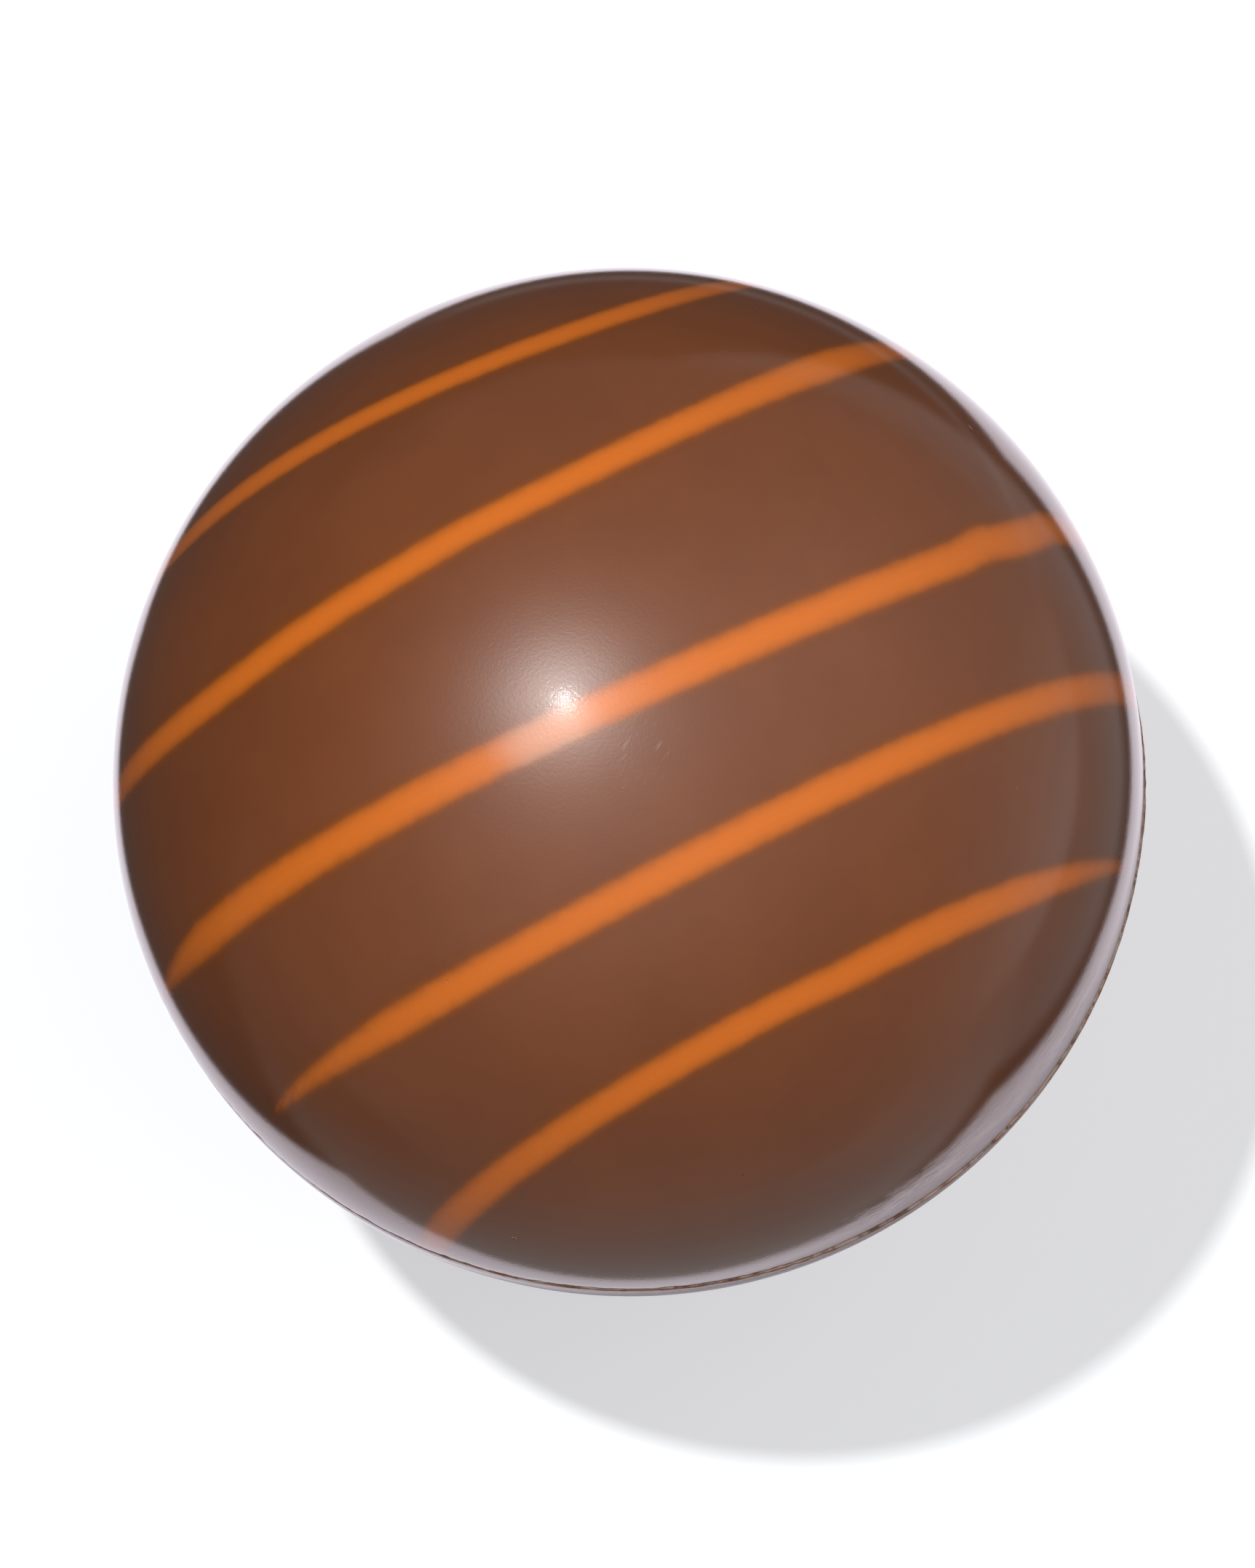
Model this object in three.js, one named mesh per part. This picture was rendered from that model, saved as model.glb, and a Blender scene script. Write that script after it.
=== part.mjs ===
// A hollow-moulded drinking-chocolate ball, closed and seen from outside: two milk-chocolate
// halves, their rims melted flat on a warm plate and pressed together round a level seam.
// Millimetres, +Z up. The origin is the centre of the small flat spot that the ball rests on.

import * as THREE from "three";

// Driving dimensions
const BALL_RADIUS = 31.5; // outer radius of the mould, the same for both halves
const RIM_MELTED_AWAY = 0.6; // what each half lost at its rim, so it is less than a hemisphere
const RIM_ROUNDING = 0.28; // radius of the softened rim edges, which leave a groove at the seam
const SEAM_SLIP = 0.26; // how far the halves were pressed together off centre
const SLIP_DIRECTION = THREE.MathUtils.degToRad(-42); // the lower half slipped this way from +X
const REST_SPOT_RADIUS = 7; // flat spot under the ball

// Facets
const TURNS = 80; // faces round the axis
const BALL_STEPS = 21; // faces from the rim up to the pole
const ROUNDING_STEPS = 3; // faces round a rim edge

// Heights that follow from them
const lowerCentre = Math.sqrt(BALL_RADIUS ** 2 - REST_SPOT_RADIUS ** 2);
const seamHeight = lowerCentre - RIM_MELTED_AWAY;

const milkChocolate = () =>
  new THREE.MeshStandardMaterial({
    color: 0x76462e,
    roughness: 0.32,
    metalness: 0,
  });

// Points of an arc about (centreX, centreY) from one angle to another, both ends included.
function arcPoints(centreX, centreY, radius, from, to, steps) {
  return Array.from({ length: steps + 1 }, (_, i) => {
    const angle = from + ((to - from) * i) / steps;
    return new THREE.Vector2(
      centreX + radius * Math.cos(angle),
      centreY + radius * Math.sin(angle),
    );
  });
}

// Outline of one half in its own frame, with the rim face at height 0 and the pole above it:
// out along the rim face, round the softened rim edge, then up the ball to the height where
// the flat spot begins, or to the pole where the spot's radius is 0.
function halfOutline(spotRadius) {
  const centre = -RIM_MELTED_AWAY; // height of the ball's centre
  const inner = BALL_RADIUS - RIM_ROUNDING; // the rounding touches the ball from inside
  const edgeHeight = RIM_ROUNDING - centre; // of the rounding's centre above the ball's centre
  const edgeReach = Math.sqrt(inner ** 2 - edgeHeight ** 2);
  const meets = Math.asin(edgeHeight / inner);
  const ends = Math.acos(spotRadius / BALL_RADIUS);
  const edge = arcPoints(edgeReach, RIM_ROUNDING, RIM_ROUNDING, -Math.PI / 2, meets, ROUNDING_STEPS);
  const ball = arcPoints(0, centre, BALL_RADIUS, meets, ends, BALL_STEPS);
  const top = ball.at(-1).y;
  const pole = new THREE.Vector2(0, top);
  const side = spotRadius > 0 ? ball : ball.slice(0, -1);
  return [new THREE.Vector2(0, 0), ...edge, ...side.slice(1), pole];
}

// A half turned about +Z from its outline.
function half(name, spotRadius) {
  const geometry = new THREE.LatheGeometry(halfOutline(spotRadius), TURNS).rotateX(Math.PI / 2);
  const mesh = new THREE.Mesh(geometry, milkChocolate());
  mesh.name = name;
  return mesh;
}

// The halves slipped equally to either side of the axis.
const slip = new THREE.Vector3(Math.cos(SLIP_DIRECTION), Math.sin(SLIP_DIRECTION), 0);
slip.multiplyScalar(SEAM_SLIP / 2);

const upperHalf = half("upper_half", 0);
upperHalf.position.set(-slip.x, -slip.y, seamHeight);

const lowerHalf = half("lower_half", REST_SPOT_RADIUS);
lowerHalf.rotation.x = Math.PI;
lowerHalf.position.set(slip.x, slip.y, seamHeight);

const chocolateBall = new THREE.Group();
chocolateBall.name = "hot_chocolate_ball";
chocolateBall.add(upperHalf, lowerHalf);

export default chocolateBall;
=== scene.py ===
import math

import bpy
import numpy as np
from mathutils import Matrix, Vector


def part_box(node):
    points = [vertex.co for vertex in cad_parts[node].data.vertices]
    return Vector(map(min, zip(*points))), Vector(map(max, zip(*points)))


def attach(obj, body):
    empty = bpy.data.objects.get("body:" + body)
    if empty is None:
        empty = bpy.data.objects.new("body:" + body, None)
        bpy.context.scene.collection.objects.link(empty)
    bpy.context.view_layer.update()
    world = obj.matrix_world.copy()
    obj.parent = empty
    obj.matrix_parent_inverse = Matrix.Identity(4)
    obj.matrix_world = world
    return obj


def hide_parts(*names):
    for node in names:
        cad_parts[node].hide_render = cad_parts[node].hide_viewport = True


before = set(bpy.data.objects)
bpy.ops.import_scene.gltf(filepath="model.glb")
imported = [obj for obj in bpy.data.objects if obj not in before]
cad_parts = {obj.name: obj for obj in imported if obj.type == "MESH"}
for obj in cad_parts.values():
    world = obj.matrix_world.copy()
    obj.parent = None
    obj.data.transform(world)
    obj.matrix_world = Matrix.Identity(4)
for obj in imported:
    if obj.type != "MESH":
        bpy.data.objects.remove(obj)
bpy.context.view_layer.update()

# ---------------------------------------------------------------------------------------------
# Upper half. Milk chocolate cast in a polished half-ball mould, so it is smooth and satin. Before
# the chocolate went in, five lines of orange cocoa butter were piped across the mould by hand:
# they are a film in the surface, with thin soft edges. All lengths are millimetres.
# ---------------------------------------------------------------------------------------------
MM = 0.001
MOULD_RADIUS = 31.5
RIM_MELTED_AWAY = 0.6  # each half is this much less than a hemisphere
RIM_ROUNDING = 0.12  # the rims set fuller than the moulded edge, so only a hairline is left open
NO_TIP = 99.0  # a line that runs on past the rim
FAR_OFF = 1000.0  # further off than any line

# Seen from above, a line runs along s, turned from +X by the half's heading, and lies across it
# at t = middle + slant q + bow q^2 + sway q^3, with q = s / BEND_LENGTH. wobbles are (where, how
# far, how long) along it, swells the same for its width, and tips are where it begins and ends.
# taper is the length over which it thins out to a tip.
BEND_LENGTH = 10.0
UPPER_HEADING = 27.0
UPPER_STRIPES = [
    dict(
        middle=21.83, slant=-0.80, bow=0.18, sway=0.14, width=2.05, tips=(-NO_TIP, NO_TIP),
        taper=8.0, wobbles=[], swells=[(-14.0, 0.2, 10.0)],
    ),
    dict(
        middle=11.54, slant=0.21, bow=0.20, sway=0.04, width=1.98, tips=(-NO_TIP, NO_TIP),
        taper=8.0, wobbles=[(-30.0, 0.6, 4.0), (-20.0, -0.15, 4.0), (-5.0, 0.12, 4.0)],
        swells=[(19.5, 0.5, 5.5)],
    ),
    dict(
        middle=-1.87, slant=-0.34, bow=0.21, sway=0.03, width=2.13, tips=(-31.4, NO_TIP),
        taper=3.4, wobbles=[(20.0, -0.09, 6.0), (22.6, 0.25, 1.2), (27.6, 0.2, 0.9)],
        swells=[(24.5, 0.2, 3.0)],
    ),
    dict(
        middle=-11.54, slant=0.11, bow=0.18, sway=-0.02, width=1.97, tips=(-28.6, NO_TIP),
        taper=8.0, wobbles=[], swells=[(0.0, 0.13, 14.0)],
    ),
    dict(
        middle=-20.46, slant=0.15, bow=0.08, sway=0.01, width=2.07, tips=(-NO_TIP, 23.6),
        taper=8.0, wobbles=[(3.5, -0.1, 3.0)], swells=[(9.0, 0.22, 5.0)],
    ),
]


def bell(x, where, reach):
    """A smooth bump of height 1 at where, that dies away over reach: exp(-((x - where) / reach)^2)."""
    return np.exp(-(((x - where) / reach) ** 2))


def over_ball(t):
    """Length over the ball from its middle to t off it: the arc MOULD_RADIUS asin(t / MOULD_RADIUS)."""
    return MOULD_RADIUS * np.arcsin(np.clip(t / MOULD_RADIUS, -1.0, 1.0))


def film_edge(x, y, heading, stripes):
    """How far each point lies outside the nearest line's edge, on the ball, negative inside it.

    The points are turned into (s, t) along and across the lines. Across is measured over the ball,
    because a line is equally wide all over it. Half the width shrinks with the square root of the
    way to a tip, and goes below nothing past it.
    """
    turn = math.radians(heading)
    s = x * math.cos(turn) + y * math.sin(turn)
    t = y * math.cos(turn) - x * math.sin(turn)
    q = s / BEND_LENGTH
    nearest = np.full_like(s, FAR_OFF)
    for line in stripes:
        middle = line["middle"] + line["slant"] * q + line["bow"] * q**2 + line["sway"] * q**3
        half = np.full_like(s, line["width"] / 2)
        for where, far, reach in line["wobbles"]:
            middle = middle + far * bell(s, where, reach)
        for where, more, reach in line["swells"]:
            half = half + more / 2 * bell(s, where, reach)
        begin, end = line["tips"]
        to_tip = np.minimum(s - begin, end - s)
        thinned = np.sqrt(np.clip(to_tip / line["taper"], 0.0, 1.0))
        half = half * thinned - np.clip(-to_tip, 0.0, None)
        nearest = np.minimum(nearest, np.abs(over_ball(t) - over_ball(middle)) - half)
    return nearest


def full_turn(steps):
    """The angles of equal steps round the ball, from +X."""
    return np.linspace(0, 2 * np.pi, steps, endpoint=False)


def round_noise(turn, seed, first, last, fall):
    """A ragged wave round the ball that closes on itself: cosines of first to last waves a turn,
    with seeded phases and heights that fall as the power fall of the count, scaled to a spread of 1."""
    rng = np.random.default_rng(seed)
    count = np.arange(first, last + 1)
    height = rng.normal(size=count.size) * count**-fall
    phase = rng.uniform(0, 2 * np.pi, count.size)
    wave = (height[:, None] * np.cos(np.outer(count, turn) + phase[:, None])).sum(0)
    return wave / wave.std()


def add_piece(name, points, faces):
    """A mesh in the scene, from points in mm and faces as lists of the points' numbers."""
    mesh = bpy.data.meshes.new(name)
    mesh.from_pydata(np.asarray(points) * MM, [], faces)
    piece = bpy.data.objects.new(name, mesh)
    bpy.context.scene.collection.objects.link(piece)
    return piece


def turned_solid(name, radius, height, x_centre, y_centre):
    """A closed solid turned round an upright axis. radius and height are grids of one row for each
    step of the outline and one column for each step of the turn, in mm; the first and last rows lie
    on the axis, so each becomes one point. A point is (x + r cos u, y + r sin u, height)."""
    rows, columns = radius.shape
    turn = full_turn(columns)
    ring = np.stack(
        [x_centre + radius * np.cos(turn), y_centre + radius * np.sin(turn), height], axis=-1
    )[1:-1]
    ends = np.array([[x_centre, y_centre, height[0, 0]], [x_centre, y_centre, height[-1, 0]]])
    points = np.concatenate([ring.reshape(-1, 3), ends])
    here = np.arange((rows - 2) * columns).reshape(rows - 2, columns)
    beside = np.roll(here, -1, axis=1)
    first_end, last_end = here.size, here.size + 1
    quads = np.stack([here[:-1], beside[:-1], beside[1:], here[1:]], axis=-1).reshape(-1, 4)
    fan = np.stack([np.full(columns, first_end), beside[0], here[0]], axis=-1)
    back = np.stack([np.full(columns, last_end), here[-1], beside[-1]], axis=-1)
    piece = add_piece(name, points, quads.tolist() + fan.tolist() + back.tolist())
    piece.data.shade_smooth()
    return piece


TURN_STEPS = 512
BALL_ROWS = 150
ROUNDING_ROWS = 9
SPOT_ROWS = 30


def half_outline(spot_radius):
    """Outline of a half with its rim at height 0: from the pole, or the edge of the flat spot, down
    the ball, then round the softened rim edge on a small arc that touches the ball and the rim."""
    inner = MOULD_RADIUS - RIM_ROUNDING
    lift = RIM_ROUNDING + RIM_MELTED_AWAY
    meets = math.asin(lift / inner)
    ball = np.linspace(math.acos(spot_radius / MOULD_RADIUS), meets, BALL_ROWS)
    edge = np.linspace(meets, -math.pi / 2, ROUNDING_ROWS)[1:]
    radius = np.concatenate(
        [MOULD_RADIUS * np.cos(ball), inner * math.cos(meets) + RIM_ROUNDING * np.cos(edge)]
    )
    height = np.concatenate(
        [MOULD_RADIUS * np.sin(ball) - RIM_MELTED_AWAY, RIM_ROUNDING * (1 + np.sin(edge))]
    )
    if spot_radius > 0:
        spot = np.linspace(0.0, spot_radius, SPOT_ROWS, endpoint=False)
        radius = np.append(spot, radius)
        height = np.append(np.full(SPOT_ROWS, height[0]), height)
    return np.append(radius, 0.0), np.append(height, 0.0)


RIM_UNEVEN = 0.03  # how far the melted rim wanders, up and down and in and out
RIM_REACH = 0.4  # how far up the ball that shows
RIM_WIDTH = 1.0  # how far in from the outside the rim face takes part
RIM_SUNK = 0.006  # how far the rim is pushed in all round


def half_ball(name, node, upward, spot_radius, shrink, slip, heading, stripes, seed):
    """A half of the ball where its CAD node is, but for a hair's breadth of shrink and slip: the
    outline turned round, with the last bit of the rim pushed in and along by ragged waves. shrink
    is one length, or one for each step of the turn. The half carries two attributes in mm, how
    far a point lies outside the lines' film and how far above the seam."""
    low, high = (np.array(c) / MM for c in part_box(node))
    middle = (low[:2] + high[:2]) / 2
    x_centre, y_centre = middle + np.array(slip)
    radius, height = half_outline(spot_radius)
    turn = full_turn(TURN_STEPS)
    near_rim = bell(height, 0.0, RIM_REACH) * (radius > MOULD_RADIUS - RIM_WIDTH)
    radius = radius[:, None] * (1 - shrink / MOULD_RADIUS)
    inward = np.abs(round_noise(turn, seed, 3, 200, 0.35)) * RIM_UNEVEN + RIM_SUNK
    along = round_noise(turn, seed + 1, 2, 160, 0.5) * RIM_UNEVEN
    radius = radius - near_rim[:, None] * inward
    height = height[:, None] + near_rim[:, None] * along * np.sign(height)[:, None]
    seam = low[2] if upward else high[2]
    piece = turned_solid(name, radius, seam + (height if upward else -height), x_centre, y_centre)
    if not upward:
        piece.data.flip_normals()
    points = np.zeros(len(piece.data.vertices) * 3, np.float32)
    piece.data.vertices.foreach_get("co", points)
    x, y, z = points.reshape(-1, 3).T / MM
    film = film_edge(x - middle[0], y - middle[1], heading, stripes)
    for label, values in {"film_edge": film, "above_seam": z - seam}.items():
        layer = piece.data.attributes.new(label, "FLOAT", "POINT")
        layer.data.foreach_set("value", values.astype(np.float32))
    return piece


class Socket:
    """An output of a shader node, with arithmetic: an expression on sockets adds its Math nodes."""

    def __init__(self, shader, output):
        self.shader, self.output = shader, output

    def math(self, operation, *others):
        values = dict(enumerate([self, *others]))
        return self.shader.node("ShaderNodeMath", {"operation": operation}, values)[0]

    def __add__(self, other):
        return self.math("ADD", other)

    def __sub__(self, other):
        return self.math("SUBTRACT", other)

    def __rsub__(self, other):
        return self.shader.node("ShaderNodeMath", {"operation": "SUBTRACT"}, {0: other, 1: self})[0]

    def __mul__(self, other):
        return self.math("MULTIPLY", other)

    __radd__ = __add__
    __rmul__ = __mul__


class Shader:
    """The node tree of one material or of the world, built by calls of node()."""

    def __init__(self, owner):
        owner.use_nodes = True
        self.tree = owner.node_tree
        self.tree.nodes.clear()

    def node(self, kind, settings=(), sockets=()):
        """Adds a node, sets its settings, then its sockets' values or links, and gives its outputs.
        The setting stops holds a ramp's (place, colour) pairs."""
        made = self.tree.nodes.new(kind)
        settings = dict(settings)
        stops = settings.pop("stops", None)
        for key, value in settings.items():
            setattr(made, key, value)
        if stops:
            for extra in stops[2:]:
                made.color_ramp.elements.new(extra[0])
            for element, (place, colour) in zip(made.color_ramp.elements, sorted(stops)):
                element.position, element.color = place, colour
        for key, value in dict(sockets).items():
            if isinstance(value, Socket):
                self.tree.links.new(value.output, made.inputs[key])
            else:
                made.inputs[key].default_value = value
        return [Socket(self, output) for output in made.outputs if output.enabled]

    def steps(self, value, low, high):
        """0 below low and 1 above high, with a smooth step between."""
        return self.node(
            "ShaderNodeMapRange",
            {"interpolation_type": "SMOOTHSTEP"},
            {"Value": value, "From Min": low, "From Max": high},
        )[0]

    def blend(self, factor, first, second, way="MIX"):
        """Two colours mixed, or multiplied and so on, by a Mix node."""
        return self.node(
            "ShaderNodeMix",
            {"data_type": "RGBA", "blend_type": way},
            {"Factor": factor, "A": first, "B": second},
        )[0]

    def distance(self, where, centre):
        """How far each point is from a centre that is given in mm."""
        return self.node(
            "ShaderNodeVectorMath",
            {"operation": "DISTANCE"},
            {0: where, 1: tuple(v * MM for v in centre)},
        )[0]

    def specks(self, where, apart):
        """Points scattered apart millimetres from each other: the distance to the nearest, over
        apart, and two random numbers of its own."""
        cell = self.node(
            "ShaderNodeTexVoronoi", {"feature": "F1"}, {"Vector": where, "Scale": 1 / (apart * MM)}
        )
        own = self.node("ShaderNodeSeparateColor", {}, {"Color": cell[1]})
        return cell[0], own[0], own[1]

    def noise(self, where, size, detail=2.0, rough=0.5):
        """Noise of mean 0.5 whose lumps are size millimetres across."""
        return self.node(
            "ShaderNodeTexNoise",
            {"noise_dimensions": "3D"},
            {"Vector": where, "Scale": 1 / (size * MM), "Detail": detail, "Roughness": rough},
        )[0]


def srgb(red, green, blue):
    """A colour as a screen shows it, 0 to 255, turned into the linear colour that Blender uses."""
    shown = np.array([red, green, blue]) / 255
    linear = np.where(shown <= 0.04045, shown / 12.92, ((shown + 0.055) / 1.055) ** 2.4)
    return (*linear.tolist(), 1.0)


CHOCOLATE = srgb(124, 70, 39)
CHOCOLATE_DARK = srgb(118, 66, 37)
ORANGE = srgb(218, 114, 35)
ORANGE_THIN = srgb(184, 96, 25)
HALO_TINT = srgb(250, 246, 222)
PIT_SHADE = srgb(52, 30, 20)
DUST = srgb(205, 185, 170)
BLOOM = srgb(158, 122, 98)
CHOCOLATE_IOR = 1.5
FILM_IOR = 1.42
FILM_OUTSIDE = 0.75  # how far outside a line's edge the first trace of the film lies
FILM_SPAN = 1.9  # from there to where it is full
FILM_COVER = [  # (share of that way, how much of the brown it hides)
    (0.0, 0.0), (0.18, 0.04), (0.28, 0.13), (0.345, 0.27), (0.43, 0.66), (0.53, 0.85), (1.0, 1.0),
]
MOULD_ROUGHNESS = 0.1
GRAIN_SIZE = 0.2  # of the fine relief that sparkles round a highlight
GRAIN_HEIGHT = 0.0055
PEEL_SIZE = 2.4  # of the slow waves of the surface
PEEL_HEIGHT = 0.0012
PITS_APART = 3.4
PIT_DEPTH = 0.02
DUST_APART = 2.3
SCUFF = (1.0, -5.0, 60.6)  # the middle of a few light scratches near the top
SCUFF_TURN = 55  # degrees from +X that they run
SCUFF_SIZE = 0.22
SCUFF_STRETCH = 9.0  # how many times longer than wide they are
PALE_SPOT = (-4.9, -4.2, 60.5)  # where the film is paler, next to the highlight
THUMB = (21.0, -20.0, 34.0)  # the middle of the streaks a thumb left near the rim
SMEAR_SIZE = 2.2


def moulded_chocolate(name):
    """Satin milk chocolate with the orange film in it, for a half of the ball."""
    material = bpy.data.materials.new(name)
    shader = Shader(material)
    where = shader.node("ShaderNodeTexCoord")[3]
    film = shader.node("ShaderNodeAttribute", {"attribute_name": "film_edge"})[2]
    above_seam = shader.node("ShaderNodeAttribute", {"attribute_name": "above_seam"})[2]

    # The film is thickest along the middle of a line and thins out over its soft edge. The brown
    # beside it is a little paler and yellower.
    uneven = shader.noise(where, 1.1, 3.0) - 0.5
    inside = film * -1.0 + uneven * 0.22
    cover = shader.node(
        "ShaderNodeValToRGB",
        {"stops": [(place, (share, share, share, 1.0)) for place, share in FILM_COVER]},
        {"Fac": (inside + FILM_OUTSIDE) * (1 / FILM_SPAN)},
    )[0]
    cloudy = shader.noise(where, 9.0, 4.0, 0.6)
    streaky = shader.noise(where, 0.9, 2.0)
    brown = shader.blend(shader.steps(cloudy, 0.3, 0.7), CHOCOLATE_DARK, CHOCOLATE)
    halo = shader.steps(film, 1.0, 0.1)
    brown = shader.blend(halo, brown, shader.blend(1.0, brown, HALO_TINT, "MULTIPLY"))
    orange = shader.blend(shader.steps(inside + streaky * 0.3, 0.0, 0.8), ORANGE_THIN, ORANGE)

    # Pits where air bubbles lay against the mould, and specks of dust.
    to_pit, pit_size, _ = shader.specks(where, PITS_APART)
    pitted = shader.steps(to_pit - shader.steps(pit_size, 0.75, 1.0) * 0.04, 0.01, -0.002)
    to_dust, _, dust_size = shader.specks(where, DUST_APART)
    dusty = shader.steps(to_dust - shader.steps(dust_size, 0.6, 1.0) * 0.02, 0.004, -0.004)

    # Light scratches from handling: long thin noise, near one place only.
    along_scuff = shader.node(
        "ShaderNodeMapping",
        {"vector_type": "TEXTURE"},
        {
            "Vector": where,
            "Rotation": (0.0, 0.0, math.radians(SCUFF_TURN)),
            "Scale": (SCUFF_STRETCH, 1.0, 1.0),
        },
    )[0]
    strokes = shader.steps(shader.noise(along_scuff, SCUFF_SIZE, 1.0), 0.62, 0.76)
    scratched = strokes * shader.steps(shader.distance(where, SCUFF), 2.6 * MM, 0.6 * MM)

    # The seam was rubbed smooth with a warm finger, which left the lower rim dull and greyish.
    dull = shader.steps(above_seam, 0.4, 0.1) * shader.steps(above_seam, -2.2, -0.6)
    bloom = shader.noise(where, 0.7, 4.0, 0.7)
    patchy = shader.steps(bloom, 0.35, 0.65) * dull

    # Streaks that a thumb left on the right, near the rim, and one place next to the highlight where
    # the film is paler and a little rougher.
    squeezed = shader.node("ShaderNodeMapping", {}, {"Vector": where, "Scale": (1.0, 1.0, 3.0)})[0]
    smears = shader.steps(shader.noise(squeezed, SMEAR_SIZE, 4.0, 0.7), 0.42, 0.62)
    touched = shader.steps(shader.distance(where, THUMB), 16 * MM, 7 * MM)
    smeared = touched * shader.steps(above_seam, 9.0, 4.0) * smears
    to_pale_spot = shader.distance(where, PALE_SPOT) + streaky * MM
    paled = shader.steps(to_pale_spot, 4.6 * MM, 1.6 * MM)
    orange = shader.blend(paled * 0.35, orange, DUST)

    # All of it together: the gloss of the mould, and a relief in millimetres.
    # The pits are darkened with painted shade.
    brown = shader.blend(pitted * 0.6, brown, PIT_SHADE)
    brown = shader.blend(scratched * 0.12, brown, DUST)
    grain = shader.noise(where, GRAIN_SIZE, 2.0, 0.7)
    peel = shader.noise(where, PEEL_SIZE, 1.0)
    roughness = MOULD_ROUGHNESS + smeared * 0.1 + dull * 0.16 + paled * 0.06
    height = grain * GRAIN_HEIGHT + peel * PEEL_HEIGHT - pitted * PIT_DEPTH
    height = height + scratched * 0.003 + bloom * dull * 0.01 + smeared * 0.006
    bumped = shader.node("ShaderNodeBump", {}, {"Strength": 1.0, "Distance": MM, "Height": height})
    skins = []
    for colour, gloss in ((brown, CHOCOLATE_IOR), (orange, FILM_IOR)):
        colour = shader.blend(dusty * 0.5, colour, DUST)
        colour = shader.blend(patchy * 0.75, colour, BLOOM)
        skin = shader.node(
            "ShaderNodeBsdfPrincipled",
            {},
            {"Base Color": colour, "Roughness": roughness, "IOR": gloss, "Normal": bumped[0]},
        )
        skins.append(skin[0])
    surface = shader.node("ShaderNodeMixShader", {}, {0: cover, 1: skins[0], 2: skins[1]})
    shader.node("ShaderNodeOutputMaterial", {}, {"Surface": surface[0]})
    return material


UPPER_SHRINK = 0.09  # chocolate shrinks a little as it sets
UPPER_SLIP = (-0.085, 0.085)
UPPER_SEED = 11
upper = half_ball(
    "upper_shell", "upper_half", True, 0.0, UPPER_SHRINK, UPPER_SLIP,
    UPPER_HEADING, UPPER_STRIPES, UPPER_SEED,
)
upper.data.materials.append(moulded_chocolate("striped_chocolate"))
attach(upper, "root")
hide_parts("upper_half")

# ---------------------------------------------------------------------------------------------
# Lower half. Cast in the same tray and piped across in the same way, then turned over, so its
# lines lie a little differently. It stands on a small flat spot.
# ---------------------------------------------------------------------------------------------
REST_SPOT_RADIUS = 7.0
LOWER_HEADING = 30.0
LOWER_STRIPES = [
    dict(
        middle=21.6, slant=0.45, bow=-0.12, sway=-0.04, width=2.0, tips=(-NO_TIP, NO_TIP),
        taper=8.0, wobbles=[], swells=[],
    ),
    dict(
        middle=12.6, slant=-0.30, bow=0.10, sway=0.05, width=2.1, tips=(-27.5, NO_TIP),
        taper=6.0, wobbles=[(6.0, 0.2, 3.0)], swells=[(-8.0, 0.2, 6.0)],
    ),
    dict(
        middle=2.7, slant=0.25, bow=-0.15, sway=0.02, width=2.2, tips=(-NO_TIP, NO_TIP),
        taper=8.0, wobbles=[(-14.0, 0.15, 4.0)], swells=[(12.0, 0.2, 5.0)],
    ),
    dict(
        middle=-5.9, slant=-0.20, bow=0.12, sway=-0.03, width=2.1, tips=(-NO_TIP, 29.5),
        taper=4.0, wobbles=[(-21.0, 0.3, 1.6)], swells=[],
    ),
    dict(
        middle=-14.4, slant=0.10, bow=0.05, sway=0.02, width=2.0, tips=(-24.0, NO_TIP),
        taper=8.0, wobbles=[], swells=[(5.0, 0.15, 8.0)],
    ),
]
LOWER_SLIP = (-0.157, 0.15)
LOWER_SHRINK = 0.10
BULGE = 0.12  # the half bulges out a little in one place
BULGE_TURN = 2.0  # in degrees from +X
BULGE_SPREAD = 0.2  # in radians


def lower_shrink(turn):
    """How far the lower half shrank at each step of the turn: less in one place, along a bell."""
    off_bulge = (turn - math.radians(BULGE_TURN) + np.pi) % (2 * np.pi) - np.pi
    return LOWER_SHRINK - BULGE * bell(off_bulge, 0.0, BULGE_SPREAD)


LOWER_SEED = 23
lower = half_ball(
    "lower_shell", "lower_half", False, REST_SPOT_RADIUS, lower_shrink(full_turn(TURN_STEPS)),
    LOWER_SLIP, LOWER_HEADING, LOWER_STRIPES, LOWER_SEED,
)
lower.data.materials.append(upper.data.materials[0])
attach(lower, "root")
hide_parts("lower_half")

# ---------------------------------------------------------------------------------------------
# Melted seam. The rims were softened on a warm plate and pressed together, and a thread of
# chocolate set in the groove between them, thick here and sunk in there.
# ---------------------------------------------------------------------------------------------
THREAD_RADIUS = 0.11
THREAD_THINNEST = 0.033
THREAD_THICKEST = 0.12
THREAD_SUNK = 0.15  # its middle lies this far inside the lower rim
THREAD_WANDER = 0.02  # how far it strays in, up and down
THREAD_STEPS = 2160
THREAD_SIDES = 8


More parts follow.
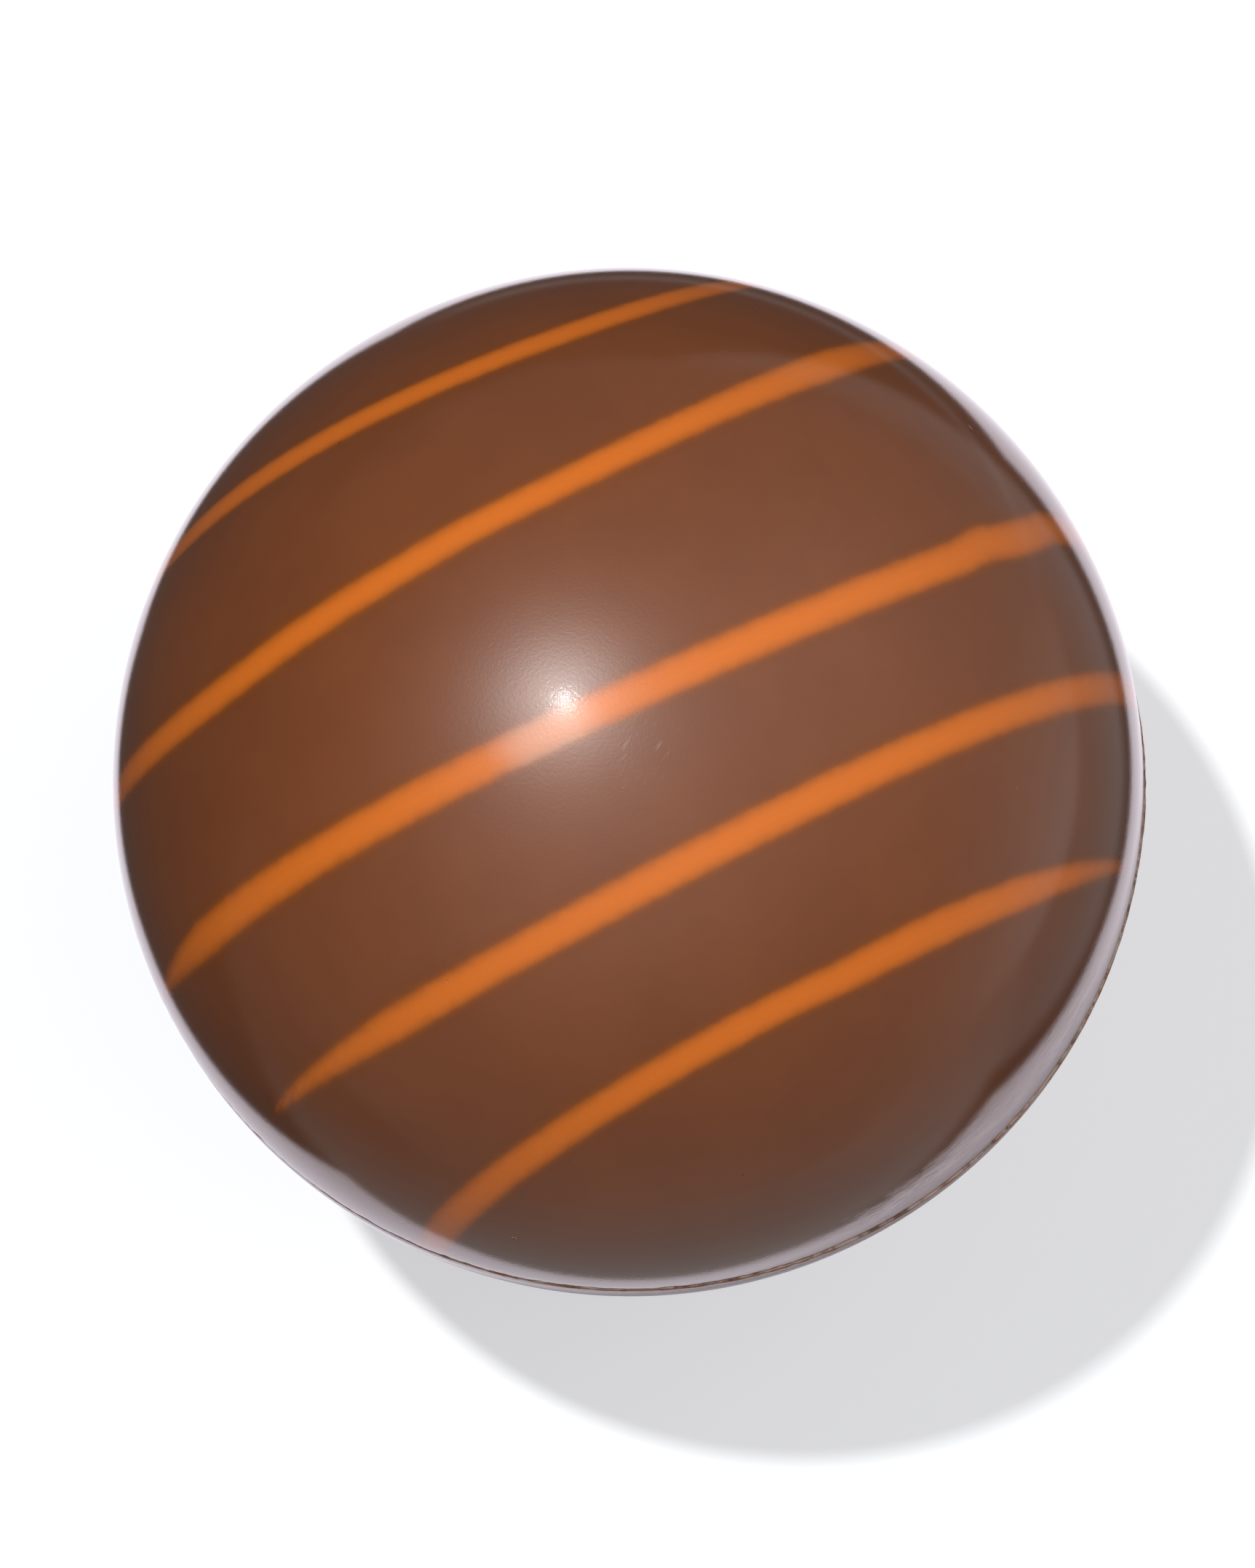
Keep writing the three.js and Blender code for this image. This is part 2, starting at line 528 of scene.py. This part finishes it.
def seam_thread():
    """A ragged ring: a small circle of changing radius, carried round the seam with its centre
    wandering in and out and up and down. A point is the centre plus the circle's own offset."""
    low, high = (np.array(c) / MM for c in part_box("lower_half"))
    x_centre, y_centre = (low[:2] + high[:2]) / 2 + np.array(LOWER_SLIP)
    turn = full_turn(THREAD_STEPS)
    thick = THREAD_RADIUS * (1 + 0.35 * round_noise(turn, 31, 2, 300, 0.5))
    thick = np.clip(thick, THREAD_THINNEST, THREAD_THICKEST)
    reach = MOULD_RADIUS - lower_shrink(turn) - THREAD_SUNK
    reach = reach - THREAD_WANDER * np.abs(round_noise(turn, 32, 2, 60, 0.6))
    level = high[2] + THREAD_WANDER * round_noise(turn, 33, 2, 80, 0.7)
    side = full_turn(THREAD_SIDES)
    radius = reach[:, None] + thick[:, None] * np.cos(side)
    height = level[:, None] + thick[:, None] * np.sin(side)
    points = np.stack(
        [
            x_centre + radius * np.cos(turn)[:, None],
            y_centre + radius * np.sin(turn)[:, None],
            height,
        ],
        axis=-1,
    )
    here = np.arange(THREAD_STEPS * THREAD_SIDES).reshape(THREAD_STEPS, THREAD_SIDES)
    ahead, above = np.roll(here, -1, axis=0), np.roll(here, -1, axis=1)
    across = np.roll(ahead, -1, axis=1)
    quads = np.stack([here, ahead, across, above], axis=-1).reshape(-1, 4)
    piece = add_piece("seam_thread", points.reshape(-1, 3), quads.tolist())
    piece.data.shade_smooth()
    return piece


THREAD_BROWN = srgb(98, 72, 60)
THREAD_PALE = srgb(172, 150, 136)
THREAD_IOR = 1.4


def melted_chocolate():
    """Chocolate that melted and set again: duller, and paler in patches."""
    material = bpy.data.materials.new("melted_chocolate")
    shader = Shader(material)
    where = shader.node("ShaderNodeTexCoord")[3]
    patches = shader.noise(where, 0.8, 3.0, 0.7)
    colour = shader.blend(shader.steps(patches, 0.35, 0.6), THREAD_BROWN, THREAD_PALE)
    bumped = shader.node(
        "ShaderNodeBump",
        {},
        {"Strength": 1.0, "Distance": MM, "Height": shader.noise(where, 0.3, 3.0) * 0.03},
    )
    surface = shader.node(
        "ShaderNodeBsdfPrincipled",
        {},
        {
            "Base Color": colour,
            "Roughness": 0.35 + patches * 0.2,
            "IOR": THREAD_IOR,
            "Normal": bumped[0],
        },
    )
    shader.node("ShaderNodeOutputMaterial", {}, {"Surface": surface[0]})
    return material


thread = seam_thread()
thread.data.materials.append(melted_chocolate())
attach(thread, "root")

# ---------------------------------------------------------------------------------------------
# Floor, light and camera. A plain white floor; a lamp high on the left and a softer one overhead,
# with a dim room round them; the camera looks down from 77 degrees.
# ---------------------------------------------------------------------------------------------
CAMERA_ELEVATION = math.radians(77.0)
CAMERA_DISTANCE = 14.0 * MOULD_RADIUS
IMAGE_WIDTH = 1725
IMAGE_HEIGHT = 2156
OUTLINE_PIXELS = 710.3  # radius of the ball's outline in the image
BALL_COLUMN = 865.5  # where the image has the ball's centre
BALL_LINE = 1078.1
SENSOR = 36.0

# The outline of a ball of radius R, seen from D, has a radius of focal / sqrt((D / R)^2 - 1).
focal_pixels = OUTLINE_PIXELS * math.sqrt((CAMERA_DISTANCE / MOULD_RADIUS) ** 2 - 1)
back = np.array([0.0, -math.cos(CAMERA_ELEVATION), math.sin(CAMERA_ELEVATION)])
across = np.array([1.0, 0.0, 0.0])
upright = np.cross(back, across)
upper_low, upper_high = (np.array(c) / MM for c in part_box("upper_half"))
ball_centre = np.array([*((upper_low + upper_high)[:2] / 2), upper_high[2] - MOULD_RADIUS])
pixel = CAMERA_DISTANCE / focal_pixels
aim = (
    ball_centre
    - across * (BALL_COLUMN - IMAGE_WIDTH / 2) * pixel
    + upright * (BALL_LINE - IMAGE_HEIGHT / 2) * pixel
)
camera_data = bpy.data.cameras.new("camera")
camera_data.sensor_width = SENSOR
camera_data.lens = focal_pixels / IMAGE_HEIGHT * SENSOR
camera_data.clip_start = 10 * MM
camera_data.clip_end = 10000 * MM
camera = bpy.data.objects.new("camera", camera_data)
bpy.context.scene.collection.objects.link(camera)
camera.location = (aim + back * CAMERA_DISTANCE) * MM
camera.rotation_euler = (math.pi / 2 - CAMERA_ELEVATION, 0.0, 0.0)
bpy.context.scene.camera = camera


def flat_sheet(name, corners, height):
    """A flat level sheet: the corners, in order, at one height, as one face that looks up."""
    points = [(x, y, height) for x, y in corners]
    piece = add_piece(name, points, [tuple(range(len(points)))])
    piece.data.materials.append(bpy.data.materials.new(name))
    return piece


FLOOR_CORNERS = [(-1500, -1500), (1500, -1500), (1500, 1500), (-1500, 1500)]
FLOOR_WHITE = (0.95, 0.97, 0.985, 1.0)
floor = flat_sheet("floor", FLOOR_CORNERS, 0.0)
paint = Shader(floor.active_material)
paper = paint.node("ShaderNodeBsdfDiffuse", {}, {"Color": FLOOR_WHITE})
paint.node("ShaderNodeOutputMaterial", {}, {"Surface": paper[0]})
floor.visible_glossy = floor.visible_diffuse = floor.visible_shadow = False

# What the ball mirrors under itself: a card that glows with painted light, with a painted shadow of the
# ball in grey, on a dim grey table that glows with painted light. Only reflections show them.
CARD_CORNERS = [
    (-35, -42.5), (-19, -44), (15, -43.5), (33, -39), (48, -36), (52.5, -11),
    (51.5, 8), (47.5, 49.5), (-25, 55), (-45, 21), (-44.5, -8),
]
CARD_HEIGHT = -0.05
CARD_PAINTED_SHADOW = (8, -4.5, 0)  # the middle of the painted shadow
card = flat_sheet("card", CARD_CORNERS, CARD_HEIGHT)
paint = Shader(card.active_material)
from_painted_shadow = paint.distance(paint.node("ShaderNodeTexCoord")[3], CARD_PAINTED_SHADOW)
painted_shadow = paint.steps(from_painted_shadow, 33 * MM, 28 * MM)
# Painted shadow and painted light: the card is grey inside the painted shadow, and glows by emission
# outside it.
paper = paint.node(
    "ShaderNodeBsdfPrincipled",
    {},
    {
        "Base Color": paint.blend(painted_shadow, (0.95, 0.9, 0.98, 1.0), (0.55, 0.52, 0.57, 1.0)),
        "Roughness": 1.0,
        "Specular IOR Level": 0.0,
        "Emission Color": paint.blend(painted_shadow, (0.17, 0.16, 0.18, 1.0), (0.0, 0.0, 0.0, 1.0)),
        "Emission Strength": 1.0,
    },
)
paint.node("ShaderNodeOutputMaterial", {}, {"Surface": paper[0]})
card.visible_camera = card.visible_diffuse = card.visible_shadow = False

TABLE_CORNERS = [(-500, -95), (90, -95), (115, -70), (115, 600), (-500, 600)]
TABLE_HEIGHT = -0.1
TABLE_DIM_GLOW = 0.07
table = flat_sheet("table", TABLE_CORNERS, TABLE_HEIGHT)
paint = Shader(table.active_material)
place = paint.node("ShaderNodeTexCoord")[3]
east, north, _ = paint.node("ShaderNodeSeparateXYZ", {}, {"Vector": place})
# Painted light: the table only glows, dimly, and brighter to the east, to the south and in a strip to
# the north.
lit_east = paint.steps(east, 54 * MM, 64 * MM)
lit_south = paint.steps(north, -38 * MM, -46 * MM)
lit = lit_east.math("MAXIMUM", lit_south * paint.steps(east, -80 * MM, 10 * MM))
off_edge = (north - 65 * MM).math("ABSOLUTE")
lit_edge_north = paint.steps(off_edge, 5 * MM, 1 * MM) * paint.steps(east, -30 * MM, -15 * MM)
glow = lit * 0.28 + lit_south * 0.08 + lit_edge_north * 0.12 + TABLE_DIM_GLOW
glow = paint.node("ShaderNodeEmission", {}, {"Strength": glow})
paint.node("ShaderNodeOutputMaterial", {}, {"Surface": glow[0]})
table.visible_camera = table.visible_diffuse = table.visible_shadow = False

WHITE = (1.0, 1.0, 1.0)
OVERHEAD_WHITE = (1.0, 0.985, 1.0)
TO_KEY = np.array([-0.319, 0.194, 1.0])
TO_OVERHEAD = np.array([0.0, -0.19, 0.98])
TO_GLINT = across * -0.235 + upright * 0.2905 + back * 0.927
TO_GLOW = across * -0.252 + upright * 0.309 + back * 0.917


def distant_lamp(name, toward, strength, angle, colour):
    """A lamp so far off that its light is parallel. It shines from a direction, angle degrees wide."""
    data = bpy.data.lights.new(name, "SUN")
    data.energy, data.angle, data.color = strength * math.pi, math.radians(angle), colour
    lamp = bpy.data.objects.new(name, data)
    bpy.context.scene.collection.objects.link(lamp)
    lamp.rotation_euler = Vector(toward).to_track_quat("Z", "Y").to_euler()
    return lamp


# The key lamp throws the shadow. Only the glint lamp is mirrored, as the highlight's white core.
key = distant_lamp("key", TO_KEY, 0.42, 2.6, WHITE)
key.visible_glossy = False
overhead = distant_lamp("overhead", TO_OVERHEAD, 0.575, 5.0, OVERHEAD_WHITE)
overhead.visible_glossy = False
glint = distant_lamp("glint", TO_GLINT, 0.038, 1.2, WHITE)
glint.visible_diffuse = False

world = bpy.data.worlds.new("room")
bpy.context.scene.world = world
room = Shader(world)
toward = room.node("ShaderNodeTexCoord")[0]


def facing(axis, power):
    """How far a direction of the room leans to an axis: the cosine, not below 0, to a power."""
    axis = np.array(axis, float) / np.linalg.norm(axis)
    cosine = room.node(
        "ShaderNodeVectorMath", {"operation": "DOT_PRODUCT"}, {0: toward, 1: axis.tolist()}
    )[0]
    return cosine.math("MAXIMUM", 0.0).math("POWER", power)


# What the ball mirrors of the room: walls, broad soft panels as (direction, narrowness, brightness),
# and a glow round the bright window.
WALLS = 0.24
PANELS = [
    ((-0.94, 0.33, 0.0), 2, -0.2),
    (back, 4, 0.66),
    ((0.71, 0.37, 0.60), 6, 0.43),
    ((-0.45, -0.62, 0.64), 10, 0.1),
    ((0.91, -0.07, -0.40), 8, 0.5),
    ((0.16, -0.81, -0.57), 12, 0.15),
]
GLOW = 11.0
GLOW_FALL = 27.0
WINDOW = 2.0
mirrored = WALLS
for axis, power, bright in PANELS:
    mirrored = mirrored + facing(axis, power) * bright
off_glow = 1.0 - facing(TO_GLOW, 1)
mirrored = mirrored + GLOW * (1.0 + off_glow * GLOW_FALL).math("POWER", -2.0)
off_glint = 1.0 - facing(TO_GLINT, 1)
mirrored = mirrored + room.steps(off_glint, 0.0030, 0.0010) * WINDOW

# The soft light that the ball and the floor get from the room is dimmer, and comes from one side.
FILL = 0.035
SIDE_FILL = 0.6
TO_SIDE = (1, 0, 1)
fill = FILL + facing(TO_SIDE, 4) * SIDE_FILL
ray = room.node("ShaderNodeLightPath")
seen, seen_mirrored = ray[0], ray[3]
strength = room.node("ShaderNodeMix", {}, {"Factor": seen_mirrored, "A": fill, "B": mirrored})[0]
strength = room.node("ShaderNodeMix", {}, {"Factor": seen, "A": strength, "B": 1.0})[0]
light = room.node("ShaderNodeBackground", {}, {"Color": (1, 1, 1, 1), "Strength": strength})
room.node("ShaderNodeOutputWorld", {}, {"Surface": light[0]})
bpy.context.scene.view_settings.view_transform = "Standard"
